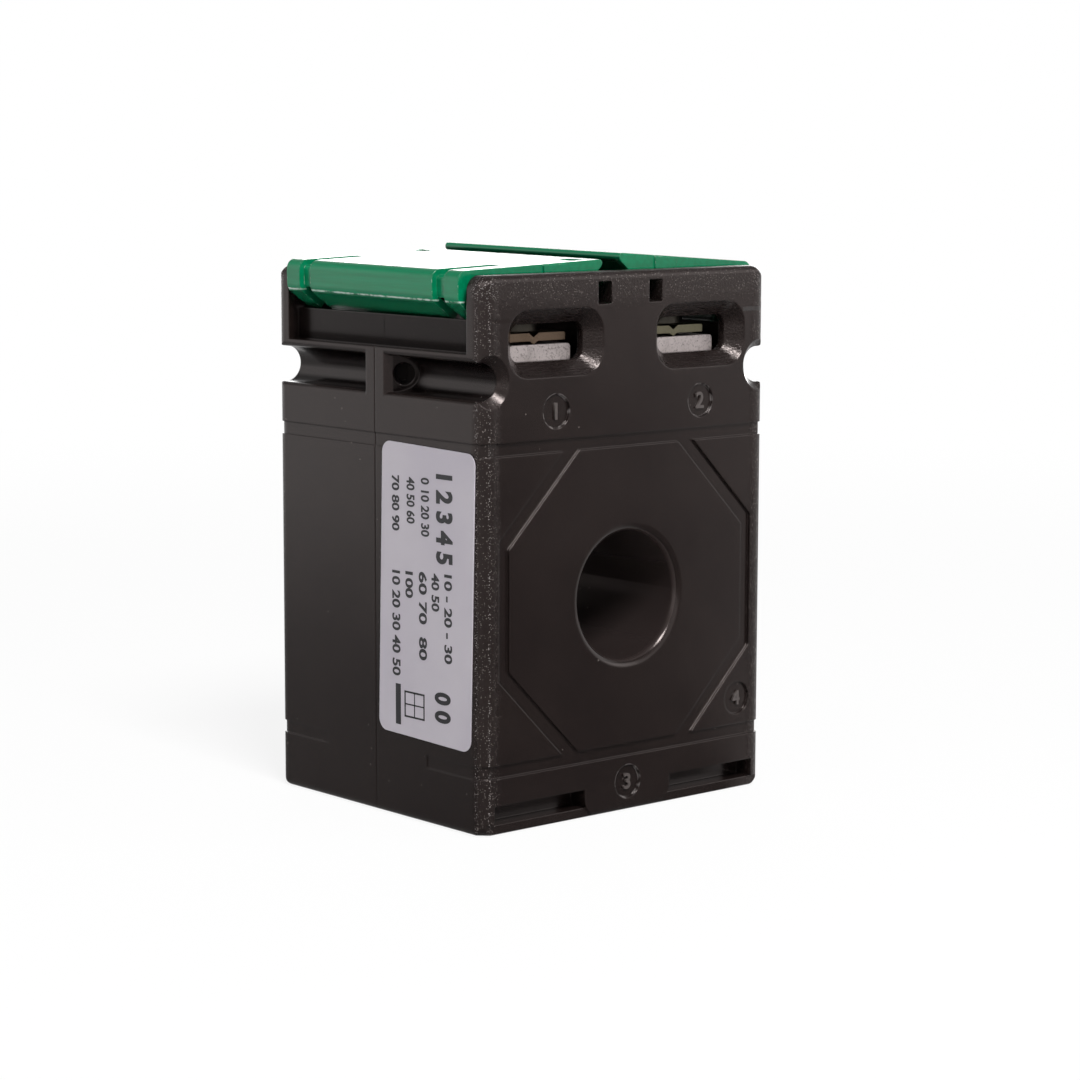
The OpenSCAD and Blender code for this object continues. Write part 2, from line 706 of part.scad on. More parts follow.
// Turns a radius-length outline into a ring round the bore's axis.
module ring() {
    translate([0, 0, bore_z]) rotate([90, 0, 0]) rotate_extrude() children();
}

// Section of the core grown by g on every side.
module core_section(g) {
    translate([core_inner_r - g, -core_l / 2 - g])
        square([core_outer_r - core_inner_r + 2 * g, core_l + 2 * g]);
}

// Wrap from depth g0 to depth g1 round the core, slit along its outer face.
module wrap(g0, g1) {
    ring() difference() {
        core_section(g1);
        core_section(g0);
        translate([core_outer_r, -wrap_slit / 2]) square([half_w, wrap_slit]);
    }
}

module core_strip() { color("slategray") ring() core_section(0); }
module core_insulation() { color("ivory") wrap(fit_gap, insulation_g); }
module secondary_winding() { color("peru") wrap(insulation_g + fit_gap, winding_g); }
module winding_tape() { color("khaki") wrap(winding_g + fit_gap, tape_g); }

// Foam ring between a shell's face wall and the wound core.
module core_pad() {
    color("dimgray") translate([0, -half_d + wall, bore_z]) rotate([-90, 0, 0])
        difference() {
            cylinder(h = pad_t, r = bundle_r - 1);
            translate([0, 0, -1]) cylinder(h = pad_t + 2, r = tube_r + 0.3);
        }
}

module core_pad_front() { core_pad(); }
module core_pad_rear() { mirror([0, 1, 0]) core_pad(); }

// Lead from the winding up to the terminal bar at x.
module lead_wire(x) {
    start_z = bore_z + sqrt(pow(bundle_r, 2) - pow(abs(x) - lead_r, 2)) + fit_gap;
    color("firebrick") translate([x, 0, start_z]) cylinder(h = seat_z - start_z, r = lead_r);
}

module lead_wire_left() { lead_wire(-terminal_x); }
module lead_wire_right() { lead_wire(terminal_x); }

// Rating label on the left side face.
module rating_label() {
    color("lavender") translate([-half_w - label_t, -half_d + label_y, label_z]) rotate([label_turn, 0, 0])
        rotate([0, 90, 0]) linear_extrude(label_t) round_rect(label_h, label_w, label_r);
}

front_shell();
rear_shell();
cover_left();
cover_right();
terminal_bar_left();
terminal_bar_right();
clamp_plate_left_front();
clamp_plate_right_front();
clamp_plate_left_rear();
clamp_plate_right_rear();
terminal_screw_left_front();
terminal_screw_right_front();
terminal_screw_left_rear();
terminal_screw_right_rear();
core_strip();
core_insulation();
secondary_winding();
winding_tape();
core_pad_front();
core_pad_rear();
lead_wire_left();
lead_wire_right();
rating_label();
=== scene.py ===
import json
import math

import bpy
import numpy as np
from mathutils import Matrix, Vector


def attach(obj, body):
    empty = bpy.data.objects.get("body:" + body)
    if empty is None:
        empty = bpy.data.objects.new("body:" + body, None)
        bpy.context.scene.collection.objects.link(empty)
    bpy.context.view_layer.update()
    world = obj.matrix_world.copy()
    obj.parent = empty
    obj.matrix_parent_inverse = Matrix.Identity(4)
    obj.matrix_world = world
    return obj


mm = 0.001  # the part's drawings are in millimetres, Blender's unit is the metre

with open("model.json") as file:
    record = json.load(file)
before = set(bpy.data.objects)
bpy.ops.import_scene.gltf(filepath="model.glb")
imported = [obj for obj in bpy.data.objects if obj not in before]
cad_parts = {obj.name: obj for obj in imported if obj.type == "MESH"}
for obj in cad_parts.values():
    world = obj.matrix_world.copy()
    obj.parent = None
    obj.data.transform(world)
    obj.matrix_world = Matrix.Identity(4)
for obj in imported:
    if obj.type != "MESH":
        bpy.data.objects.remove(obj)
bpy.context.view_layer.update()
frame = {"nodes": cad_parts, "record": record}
print("frame loaded")


def cornersOf(mesh):
    corners = np.empty(len(mesh.vertices) * 3)
    mesh.vertices.foreach_get("co", corners)
    return corners.reshape(-1, 3)


def boxOf(*nodeNames):
    # lowest and highest x, y and z of the named pieces of the frame, taken together
    corners = np.concatenate([cornersOf(frame["nodes"][nodeName].data) for nodeName in nodeNames])
    return corners.min(axis=0).tolist(), corners.max(axis=0).tolist()


shellHigh = boxOf("front_shell", "rear_shell")[1]
coreLow, coreHigh = boxOf("core_strip")
labelFace = boxOf("rating_label")[0][0]


# helpers that build materials from nodes

def newMaterial(name):
    material = bpy.data.materials.new(name)
    material.use_nodes = True
    tree = material.node_tree
    tree.nodes.clear()
    output = tree.nodes.new("ShaderNodeOutputMaterial")
    return material, tree, output


def addNode(tree, kind, sockets=None, **settings):
    # a socket is linked when its value is another node's output, and set when it is a number or a colour
    node = tree.nodes.new(kind)
    for key, value in settings.items():
        setattr(node, key, value)
    for key, value in (sockets or {}).items():
        if isinstance(value, bpy.types.NodeSocket):
            tree.links.new(value, node.inputs[key])
        else:
            node.inputs[key].default_value = value
    return node


def doMath(tree, operation, first, *others):
    # works through the values from left to right, two at a time; MULTIPLY_ADD takes its three together
    if operation == "MULTIPLY_ADD" or not others:
        sockets = dict(enumerate((first, *others)))
        return addNode(tree, "ShaderNodeMath", sockets, operation=operation).outputs[0]
    for other in others:
        first = addNode(tree, "ShaderNodeMath", {0: first, 1: other}, operation=operation).outputs[0]
    return first


def isBetween(tree, value, low, high):
    return doMath(tree, "MULTIPLY", doMath(tree, "GREATER_THAN", value, low),
                  doMath(tree, "LESS_THAN", value, high))


def fadeBetween(tree, value, low, high, atLow=0.0, atHigh=1.0):
    sockets = {0: value, 1: low, 2: high, 3: atLow, 4: atHigh}
    return addNode(tree, "ShaderNodeMapRange", sockets, interpolation_type="SMOOTHSTEP").outputs[0]


def mixColour(tree, share, first, second):
    # a Mix node keeps its share in socket 0, and its two colours in sockets 6 and 7
    return addNode(tree, "ShaderNodeMix", {0: share, 6: first, 7: second}, data_type="RGBA").outputs[2]


def objectPlace(tree):
    return addNode(tree, "ShaderNodeTexCoord").outputs["Object"]


def splitPlace(tree, place):
    return addNode(tree, "ShaderNodeSeparateXYZ", {0: place}).outputs[:3]


def doVector(tree, operation, first, second=(0.0, 0.0, 0.0)):
    node = addNode(tree, "ShaderNodeVectorMath", {0: first, 1: second}, operation=operation)
    givesNumber = operation in ("DISTANCE", "DOT_PRODUCT", "LENGTH")
    return node.outputs["Value" if givesNumber else "Vector"]


def noise(tree, place, scale, detail, roughness):
    sockets = {"Vector": place, "Scale": scale, "Detail": detail, "Roughness": roughness}
    return addNode(tree, "ShaderNodeTexNoise", sockets).outputs[0]


def specks(tree, place, scale, size, share):
    # round dots in the cells of a Voronoi pattern, kept only where the cell's own colour is under the share;
    # a dot's radius is 0.4 to 1.2 times the size, by another channel of that colour
    cells = addNode(tree, "ShaderNodeTexVoronoi", {"Vector": place, "Scale": scale, "Randomness": 1.0})
    chance = addNode(tree, "ShaderNodeSeparateColor", {0: cells.outputs["Color"]})
    kept = doMath(tree, "LESS_THAN", chance.outputs[0], share)
    dotSize = doMath(tree, "MULTIPLY_ADD", chance.outputs[1], size * 0.8, size * 0.4)
    inDot = doMath(tree, "LESS_THAN", cells.outputs["Distance"], dotSize)
    return doMath(tree, "MULTIPLY", kept, inDot)


def roundEdges(tree, radius, samples=6):
    return addNode(tree, "ShaderNodeBevel", {"Radius": radius}, samples=samples).outputs[0]


def addBump(tree, height, strength, depth, normal=None):
    sockets = {"Strength": strength, "Distance": depth, "Height": height}
    if normal is not None:
        sockets["Normal"] = normal
    return addNode(tree, "ShaderNodeBump", sockets).outputs[0]


def addSurface(tree, output, sockets):
    shader = addNode(tree, "ShaderNodeBsdfPrincipled", sockets)
    tree.links.new(shader.outputs[0], output.inputs[0])


# housing: dark moulded plastic, blasted grain along its rounded edges, dust and fine scratches, with painted
# highlights, a painted reflection in the bore and painted shade in its recesses

housing = {
    "halfWidth": shellHigh[0],
    "halfDepth": shellHigh[1],
    "height": shellHigh[2],
    # colours, and how much of the plain colour each layer covers
    "colour": (0.0095, 0.0062, 0.0058, 1),
    "warmColour": (0.0125, 0.0084, 0.0076, 1),
    "warmReach": (0.35, 0.7),  # strength of the patches at which the warm colour starts and is full
    # painted reflection: the inside of the bore is painted lighter than the plain plastic
    "boreReflectionColour": (0.027, 0.020, 0.019, 1),
    # painted shade for the grooves, side walls and holes
    "shadeColour": (0.003, 0.002, 0.002, 1),
    "stepsShadeShare": 0.6,
    # dust and lint, with the painted highlights of the grain in the same pale colour
    "dustAndHighlightColour": (0.32, 0.28, 0.26, 1),
    "paleDotShare": 0.36,
    # painted highlights on the mark rims and round the corners
    "glintColour": (0.62, 0.57, 0.56, 1),
    "rimHighlightShare": 0.16,
    "glintShare": 0.42,
    # shine
    "roughness": 0.20,
    "grainRoughness": 0.30,
    "patchRoughness": 0.10,  # how much the roughness differs from patch to patch
    "holeRoughness": 0.6,  # these two are added
    "combRoughness": 0.14,
    "specular": 0.42,
    "specularTint": (1.0, 0.87, 0.84, 1),
    # noise: scale, detail, roughness
    "fine": (9000.0, 2.0, 0.6),
    "pebbles": (3600.0, 1.0, 0.4),
    "waves": (120.0, 2.0, 0.5),
    "patches": (55.0, 4.0, 0.6),
    "ragged": (700.0, 3.0, 0.7),
    "scratches": (90.0, 2.0, 0.5),
    "comb": (4200.0, 2.0, 0.6),
    "rimBreakup": (1100.0, 2.0, 0.6),
    # dots: scale, size, share of the cells that have one
    "dust": (620.0, 0.05, 0.09),
    "lint": (1900.0, 0.12, 0.03),
    # painted highlights in the grain
    "grainHighlights": (5600.0, 0.42, 0.24),
    "glints": (6800.0, 0.42, 0.50),
    # relief: heights are shares of the bump's depth, leans are slopes
    "edgeRadius": 0.22 * mm,
    "bumpStrength": 0.8,
    "bumpDepth": 0.035 * mm,
    "plainHeight": 0.015,
    "grainHeight": 0.85,
    "waveHeight": 0.8,
    "scratchDepth": 0.05,
    "combHeight": 0.45,
    "stepsLean": 0.26,
    "ledgeLean": 0.6,
    # grain: distances from the side, the top and the face at which it starts to fade and is gone
    "sideFade": (2.6 * mm, 3.8 * mm),
    "topFade": (2.6 * mm, 5.6 * mm),
    "faceFade": (1.6 * mm, 2.4 * mm),
    "raggedReach": 1.6 * mm,
    # scratches: turns of the two layers, their stretch, and the part of the noise that is a scratch
    "scratchTurns": [(0.5, 0.35, 0.5), (1.9, 1.33, 1.9)],
    "scratchStretch": (1.0, 18.0, 18.0),
    "scratchReach": (0.68, 0.74),
    # grooves and side walls, which lean and take painted shade: across, up, and how far they stop short of
    # the faces
    "stepsAcross": (19.2 * mm, 21.7 * mm),
    "stepsFrom": 47.0 * mm,
    "stepsShort": 1.0 * mm,
    # top of the side walls under the covers
    "ledgeAcross": (18.4 * mm, 21.4 * mm),
    "ledgeUp": (58.45 * mm, 58.95 * mm),
    # combed flanks of the wire entries: depth behind the face, up, and across
    "combBehind": (0.12 * mm, 2.4 * mm),
    "combFrom": 51.0 * mm,
    "combWithin": 19.2 * mm,
    "combStretch": (0.12, 1.0, 1.0),
    "combReach": (0.42, 0.62),
    # the bore, painted lighter as a reflection, and the small holes at the ribs, painted dark as shade, with
    # the slanting plane that they start at
    "boreHeight": (coreLow[2] + coreHigh[2]) / 2,  # the core is wound about the bore's axis
    "boreRadius": 7.9 * mm,
    "holePlace": (19.8 * mm, 2.35 * mm, 51.9 * mm),
    "holeReach": 2.0 * mm,
    "holeFace": 23.95 * mm,
    # painted highlights as bright dots: where the rounding of an upright corner starts and ends, and on the
    # ball of a top corner
    "glintPlace": 1.06 * mm,
    "glintWidth": 0.34 * mm,
    "cornerReach": 2.2 * mm,
    "ballPlace": (21.7 * mm, 19.0 * mm, 62.4 * mm),
    "ballFade": (0.3 * mm, 2.4 * mm),
    # rims of the round marks, which take a painted highlight: across and up
    "rims": [(11.4 * mm, 48.15 * mm), (0.0, 3.55 * mm)],
    "rimRadius": 1.97 * mm,
    "rimWidth": 0.11 * mm,
    "rimReach": (0.42, 0.62),
}


def housingGrain(tree, place, x, y, z):
    # 1 along the upright corners and the top edges, 0 on the open faces, with a ragged limit between them
    look = housing
    ragged = doMath(tree, "MULTIPLY", noise(tree, place, *look["ragged"]), look["raggedReach"])
    nearness = []
    limits = [("halfWidth", x, "sideFade"), ("height", z, "topFade"), ("halfDepth", y, "faceFade")]
    for limit, value, fade in limits:
        away = doMath(tree, "ADD", doMath(tree, "SUBTRACT", look[limit], value), ragged)
        nearness.append(fadeBetween(tree, away, *look[fade], 1.0, 0.0))
    nearSide, nearTop, nearFace = nearness
    return doMath(tree, "MULTIPLY", doMath(tree, "MAXIMUM", nearSide, nearTop), nearFace)


def housingScratches(tree, place):
    # two layers of stretched noise that cross each other
    look = housing
    layers = []
    for turn in look["scratchTurns"]:
        sockets = {"Vector": place, "Rotation": turn, "Scale": look["scratchStretch"]}
        turned = addNode(tree, "ShaderNodeMapping", sockets).outputs[0]
        layers.append(fadeBetween(tree, noise(tree, turned, *look["scratches"]), *look["scratchReach"]))
    return doMath(tree, "MAXIMUM", *layers)


def housingComb(tree, place, x, y, z):
    # fine lines along the flanks of the wire entries
    look = housing
    stretched = addNode(tree, "ShaderNodeMapping", {"Vector": place, "Scale": look["combStretch"]}).outputs[0]
    lines = fadeBetween(tree, noise(tree, stretched, *look["comb"]), *look["combReach"])
    behindFace = doMath(tree, "SUBTRACT", look["halfDepth"], y)
    return doMath(tree, "MULTIPLY", lines, isBetween(tree, behindFace, *look["combBehind"]),
                  doMath(tree, "GREATER_THAN", z, look["combFrom"]),
                  doMath(tree, "LESS_THAN", x, look["combWithin"]))


def housingGlints(tree, place, folded, x, y):
    # painted highlights: bright dots beside the middle line of each upright corner, and round the ball of
    # each top corner
    look = housing
    middleLine = look["halfWidth"] - look["halfDepth"]
    offMiddle = doMath(tree, "ABSOLUTE", doMath(tree, "SUBTRACT", x, y, middleLine))
    offRound = doMath(tree, "ABSOLUTE", doMath(tree, "SUBTRACT", offMiddle, look["glintPlace"]))
    cornerFrom = look["halfWidth"] + look["halfDepth"] - look["cornerReach"]
    onRound = doMath(tree, "MULTIPLY", fadeBetween(tree, offRound, 0.0, look["glintWidth"], 1.0, 0.0),
                     doMath(tree, "GREATER_THAN", doMath(tree, "ADD", x, y), cornerFrom))
    fromBall = doVector(tree, "DISTANCE", folded, look["ballPlace"])
    onBall = fadeBetween(tree, fromBall, *look["ballFade"], 1.0, 0.0)
    return doMath(tree, "MULTIPLY", specks(tree, place, *look["glints"]),
                  doMath(tree, "MAXIMUM", onRound, onBall), look["glintShare"])


def housingRimHighlights(tree, place, folded):
    # painted highlights on the rims of the round marks on both faces, broken up by noise
    look = housing
    rims = []
    for across, up in look["rims"]:
        away = doVector(tree, "DISTANCE", folded, (across, look["halfDepth"], up))
        offRim = doMath(tree, "ABSOLUTE", doMath(tree, "SUBTRACT", away, look["rimRadius"]))
        rims.append(doMath(tree, "LESS_THAN", offRim, look["rimWidth"]))
    patchiness = fadeBetween(tree, noise(tree, place, *look["rimBreakup"]), *look["rimReach"])
    return doMath(tree, "MULTIPLY", doMath(tree, "MAXIMUM", *rims), patchiness, look["rimHighlightShare"])


def housingMaterial():
    # both faces and both sides are alike, so the pattern's places are read with their signs taken off
    look = housing
    material, tree, output = newMaterial("moulded housing")
    place = objectPlace(tree)
    folded = doVector(tree, "ABSOLUTE", place)
    x, y, z = splitPlace(tree, folded)

    # where the surface leans or takes painted light: side walls and grooves (painted shade and a lean), ledge
    # (a lean), bore (painted reflection), and the holes at the ribs (painted shade)
    steps = doMath(tree, "MULTIPLY", isBetween(tree, x, *look["stepsAcross"]),
                   doMath(tree, "GREATER_THAN", z, look["stepsFrom"]),
                   doMath(tree, "LESS_THAN", y, look["halfDepth"] - look["stepsShort"]))
    ledge = doMath(tree, "MULTIPLY", isBetween(tree, x, *look["ledgeAcross"]),
                   isBetween(tree, z, *look["ledgeUp"]))
    onFace = doVector(tree, "MULTIPLY", place, (1.0, 0.0, 1.0))  # the place without its depth
    fromAxis = doVector(tree, "DISTANCE", onFace, (0.0, 0.0, look["boreHeight"]))
    inBore = doMath(tree, "LESS_THAN", fromAxis, look["boreRadius"])
    fromHole = doVector(tree, "DISTANCE", folded, look["holePlace"])
    inHole = doMath(tree, "MULTIPLY", doMath(tree, "LESS_THAN", fromHole, look["holeReach"]),
                    doMath(tree, "LESS_THAN", doMath(tree, "ADD", x, y), look["holeFace"]))

    grain = housingGrain(tree, place, x, y, z)
    comb = housingComb(tree, place, x, y, z)
    patches = noise(tree, place, *look["patches"])

    # relief that grows by this value with every metre leans the surface by a slope of one
    leanOne = 1.0 / (look["bumpStrength"] * look["bumpDepth"])
    height = doMath(
        tree, "ADD",
        doMath(tree, "MULTIPLY",
               doMath(tree, "ADD", noise(tree, place, *look["fine"]), noise(tree, place, *look["pebbles"])),
               doMath(tree, "MULTIPLY_ADD", grain, look["grainHeight"], look["plainHeight"])),
        doMath(tree, "MULTIPLY", noise(tree, place, *look["waves"]), look["waveHeight"]),
        doMath(tree, "MULTIPLY", housingScratches(tree, place), -look["scratchDepth"]),
        doMath(tree, "MULTIPLY", comb, look["combHeight"]),
        doMath(tree, "MULTIPLY", z, steps, look["stepsLean"] * leanOne),
        doMath(tree, "MULTIPLY", x, ledge, -look["ledgeLean"] * leanOne))
    rounded = roundEdges(tree, look["edgeRadius"])
    bump = addBump(tree, height, look["bumpStrength"], look["bumpDepth"], rounded)

    # the plain colour, with the painted reflection in the bore, the painted shade, the dust with the painted
    # highlights of the grain, and the painted highlights on the rims and the corners laid over it one after
    # the other
    warm = fadeBetween(tree, patches, *look["warmReach"])
    colour = mixColour(tree, warm, look["colour"], look["warmColour"])
    # painted shade in the holes at the ribs, and partly over the side walls and grooves
    dark = doMath(tree, "MAXIMUM", inHole, doMath(tree, "MULTIPLY", steps, look["stepsShadeShare"]))
    # painted highlights: pale dots in the grain along the corners and top edges
    grainHighlights = doMath(tree, "MULTIPLY", specks(tree, place, *look["grainHighlights"]), grain)
    pale = doMath(tree, "MAXIMUM", specks(tree, place, *look["dust"]), specks(tree, place, *look["lint"]),
                  grainHighlights)
    layers = [
        (inBore, "boreReflectionColour"),
        (dark, "shadeColour"),
        (doMath(tree, "MULTIPLY", pale, look["paleDotShare"]), "dustAndHighlightColour"),
        (housingRimHighlights(tree, place, folded), "glintColour"),
        (housingGlints(tree, place, folded, x, y), "glintColour"),
    ]
    for share, layerColour in layers:
        colour = mixColour(tree, share, colour, look[layerColour])

    plainRoughness = look["roughness"] - look["patchRoughness"] / 2
    roughness = doMath(
        tree, "ADD",
        doMath(tree, "MULTIPLY", grain, look["grainRoughness"] - look["roughness"]),
        doMath(tree, "MULTIPLY_ADD", patches, look["patchRoughness"], plainRoughness),
        doMath(tree, "MULTIPLY", inHole, look["holeRoughness"]),
        doMath(tree, "MULTIPLY", comb, look["combRoughness"]))
    addSurface(tree, output, {"Base Color": colour, "Roughness": roughness, "Normal": bump,
                              "Specular IOR Level": look["specular"], "Specular Tint": look["specularTint"]})
    return material


# covers: glossy green plastic with streaks of flow and worn edges, a painted highlight along the crease and
# painted shade under it

cover = {
    "colour": (0.0, 0.205, 0.088, 1),
    "deepColour": (0.0, 0.180, 0.075, 1),
    "paleColour": (0.50, 0.66, 0.57, 1),
    "underShadeColour": (0.004, 0.052, 0.025, 1),  # painted shade under the crease, where the skirt folds inwards
    "underShadeShare": 0.55,
    "paleDotShare": 0.4,
    "wornShare": 0.45,
    "creaseHighlightShare": 0.9,
    "roughness": 0.20,
    "patchRoughness": 0.12,
    "specular": 0.5,
    # noise: scale, detail, roughness
    "patches": (90.0, 3.0, 0.6),
    "fine": (2600.0, 2.0, 0.6),
    "streaks": (1500.0, 3.0, 0.6),
    "patchiness": (1400.0, 2.0, 0.6),
    "ragged": (2400.0, 2.0, 0.6),
    "creaseBreakup": (900.0, 3.0, 0.7),
    # dots: scale, size, share of the cells that have one
    "dust": (900.0, 0.14, 0.03),
    "edgeRadius": 0.16 * mm,
    "bumpStrength": 0.35,
    "bumpDepth": 0.02 * mm,
    "fineHeight": 0.25,
    "streakHeight": 0.5,
    "streakStretch": (1.0, 0.03, 1.0),
    "streakReach": (0.40, 0.62),
    "wornTurn": (0.93, 0.985),  # cosine between the rounded and the flat normal, worn and plain
    "wornReach": (0.56, 0.66),
    "creaseHeight": 60.9 * mm,
    "creaseTilt": 0.0096,
    "creaseWidth": 0.187 * mm,  # half of it, where the line is widest
    "creaseReach": (0.34, 0.56),
    "skirtX": 22.0 * mm,  # the skirt lies further out than this,
    "topHeight": 63.0 * mm,  # and under this height
}


def coverMaterial():
    look = cover
    material, tree, output = newMaterial("green cover")
    place = objectPlace(tree)
    x, y, z = splitPlace(tree, place)
    patches = noise(tree, place, *look["patches"])
    rounded = roundEdges(tree, look["edgeRadius"])

    # streaks of flow that run along the cover
    along = addNode(tree, "ShaderNodeMapping", {"Vector": place, "Scale": look["streakStretch"]}).outputs[0]
    streaks = noise(tree, along, *look["streaks"])

    # worn edges: where the rounded normal leaves the flat one, broken up by noise
    flat = addNode(tree, "ShaderNodeNewGeometry").outputs["Normal"]
    turn = doVector(tree, "DOT_PRODUCT", rounded, flat)
    worn = doMath(tree, "MULTIPLY", fadeBetween(tree, turn, *look["wornTurn"], 1.0, 0.0),
                  fadeBetween(tree, noise(tree, place, *look["patchiness"]), *look["wornReach"]))

    # a painted highlight: a bright line along the crease of the skirt, broken up by noise
    lineHeight = doMath(tree, "MULTIPLY_ADD", y, look["creaseTilt"], look["creaseHeight"])
    offLine = doMath(tree, "ABSOLUTE", doMath(tree, "SUBTRACT", z, lineHeight))
    ragged = doMath(tree, "MULTIPLY", noise(tree, place, *look["ragged"]), look["creaseWidth"])
    crease = doMath(tree, "MULTIPLY", doMath(tree, "LESS_THAN", offLine, ragged),
                    doMath(tree, "GREATER_THAN", doMath(tree, "ABSOLUTE", x), look["skirtX"]),
                    fadeBetween(tree, noise(tree, place, *look["creaseBreakup"]), *look["creaseReach"]))

    fine = doMath(tree, "MULTIPLY", noise(tree, place, *look["fine"]), look["fineHeight"])
    height = doMath(tree, "ADD", fine, patches, doMath(tree, "MULTIPLY", streaks, look["streakHeight"]))
    bump = addBump(tree, height, look["bumpStrength"], look["bumpDepth"], rounded)

    streaked = fadeBetween(tree, streaks, *look["streakReach"])
    colour = mixColour(tree, streaked, look["deepColour"], look["colour"])
    # painted shade on the skirt under the crease
    under = doMath(tree, "MULTIPLY", doMath(tree, "LESS_THAN", z, lineHeight),
                   doMath(tree, "LESS_THAN", z, look["topHeight"]), look["underShadeShare"])
    colour = mixColour(tree, under, colour, look["underShadeColour"])
    # pale: dust and worn edges, with the painted highlight along the crease
    dust = specks(tree, place, *look["dust"])
    pale = doMath(tree, "MAXIMUM", doMath(tree, "MULTIPLY", dust, look["paleDotShare"]),
                  doMath(tree, "MULTIPLY", worn, look["wornShare"]),
                  doMath(tree, "MULTIPLY", crease, look["creaseHighlightShare"]))
    colour = mixColour(tree, pale, colour, look["paleColour"])
    plainRoughness = look["roughness"] - look["patchRoughness"] / 2
    roughness = doMath(tree, "MULTIPLY_ADD", patches, look["patchRoughness"], plainRoughness)
    addSurface(tree, output, {"Base Color": colour, "Roughness": roughness, "Normal": bump,
                              "Specular IOR Level": look["specular"]})
    return material


# terminals: blasted bars, plated clamp plates and screws

metals = {
    "terminal": {"colour": (0.58, 0.515, 0.505, 1), "pitColour": (0.24, 0.21, 0.20, 1),
                 "edgeTint": (0.95, 0.92, 0.92, 1), "roughness": 0.5, "grain": 1.0},
    "clamp_bronze": {"colour": (0.17, 0.12, 0.085, 1), "pitColour": (0.07, 0.05, 0.035, 1),
                     "edgeTint": (0.55, 0.52, 0.50, 1), "roughness": 0.34, "grain": 0.4},
    "clamp_olive": {"colour": (0.17, 0.155, 0.105, 1), "pitColour": (0.07, 0.06, 0.04, 1),
                    "edgeTint": (0.55, 0.52, 0.50, 1), "roughness": 0.34, "grain": 0.4},
    "screw": {"colour": (0.11, 0.10, 0.085, 1), "pitColour": (0.05, 0.045, 0.035, 1),
              "edgeTint": (0.25, 0.25, 0.24, 1), "roughness": 0.42, "grain": 0.3},
}

metalGrain = {
    # noise: scale, detail, roughness
    "fine": (4200.0, 3.0, 0.65),
    "patches": (420.0, 3.0, 0.6),
    "edgeRadius": 0.12 * mm,
    "edgeSamples": 4,
    "bumpDepth": 0.03 * mm,
    "pitReach": (0.5, 0.72),
    "stainReach": (0.45, 0.75),
    "stainShare": 0.35,
}


def metalMaterial(name, look):
    material, tree, output = newMaterial(name + " metal")
    place = objectPlace(tree)
    fine = noise(tree, place, *metalGrain["fine"])
    rounded = roundEdges(tree, metalGrain["edgeRadius"], metalGrain["edgeSamples"])
    pits = doMath(tree, "MULTIPLY", fadeBetween(tree, fine, *metalGrain["pitReach"]), look["grain"])
    stains = fadeBetween(tree, noise(tree, place, *metalGrain["patches"]), *metalGrain["stainReach"],
                         0.0, metalGrain["stainShare"])
    colour = mixColour(tree, pits, look["colour"], look["pitColour"])
    colour = mixColour(tree, stains, colour, look["pitColour"])
    addSurface(tree, output, {"Base Color": colour, "Roughness": look["roughness"], "Metallic": 1.0,
                              "Specular Tint": look["edgeTint"],
                              "Normal": addBump(tree, fine, look["grain"], metalGrain["bumpDepth"], rounded)})
    return material


# plain finishes: what is sealed inside, the raised numbers and the label's print

plainFinishes = {
    "core": {"colour": (0.22, 0.22, 0.23, 1), "roughness": 0.45, "metallic": 1.0},
    "insulation": {"colour": (0.62, 0.57, 0.44, 1), "roughness": 0.8, "metallic": 0.0},
    "winding": {"colour": (0.55, 0.20, 0.07, 1), "roughness": 0.3, "metallic": 1.0},
    "tape": {"colour": (0.68, 0.58, 0.28, 1), "roughness": 0.5, "metallic": 0.0},
    "pad": {"colour": (0.03, 0.03, 0.03, 1), "roughness": 0.9, "metallic": 0.0},
    "lead": {"colour": (0.35, 0.02, 0.015, 1), "roughness": 0.35, "metallic": 0.0},
    # the numbers are painted lighter than the housing: a painted highlight for the glints on their raised
    # edges
    "mark": {"colour": (0.075, 0.063, 0.060, 1), "roughness": 0.22, "metallic": 0.0},
    "print": {"colour": (0.016, 0.015, 0.018, 1), "roughness": 0.4, "metallic": 0.0},
}


def plainMaterial(name, look):
    material, tree, output = newMaterial(name + " finish")
    addSurface(tree, output,
               {"Base Color": look["colour"], "Roughness": look["roughness"], "Metallic": look["metallic"]})
    return material


# label: satin film with faint patches

label = {
    "colour": (0.53, 0.495, 0.54, 1),
    "shadeColour": (0.485, 0.45, 0.505, 1),
    "shadeReach": (0.35, 0.65),
    "roughness": 0.42,
    # noise: scale, detail, roughness
    "patches": (60.0, 3.0, 0.5),
    "fine": (2400.0, 2.0, 0.5),
    "bumpStrength": 0.2,
    "bumpDepth": 0.01 * mm,
}


def labelMaterial():
    look = label
    material, tree, output = newMaterial("label film")
    place = objectPlace(tree)
    shade = fadeBetween(tree, noise(tree, place, *look["patches"]), *look["shadeReach"])
    bump = addBump(tree, noise(tree, place, *look["fine"]), look["bumpStrength"], look["bumpDepth"])
    addSurface(tree, output, {"Base Color": mixColour(tree, shade, look["colour"], look["shadeColour"]),
                              "Roughness": look["roughness"], "Normal": bump})
    return material


finishes = {"housing": housingMaterial(), "cover": coverMaterial(), "label": labelMaterial()}
for slotName, look in metals.items():
    finishes[slotName] = metalMaterial(slotName, look)
for slotName, look in plainFinishes.items():
    finishes[slotName] = plainMaterial(slotName, look)

slotOf = {entry["node"]: entry["material_slot"] for entry in frame["record"]["subparts"]}
for nodeName, nodeObject in frame["nodes"].items():
    nodeObject.data.materials.clear()
    nodeObject.data.materials.append(finishes[slotOf[nodeName]])
print("finishes on the frame")


# raised numbers in the round marks, and print on the label

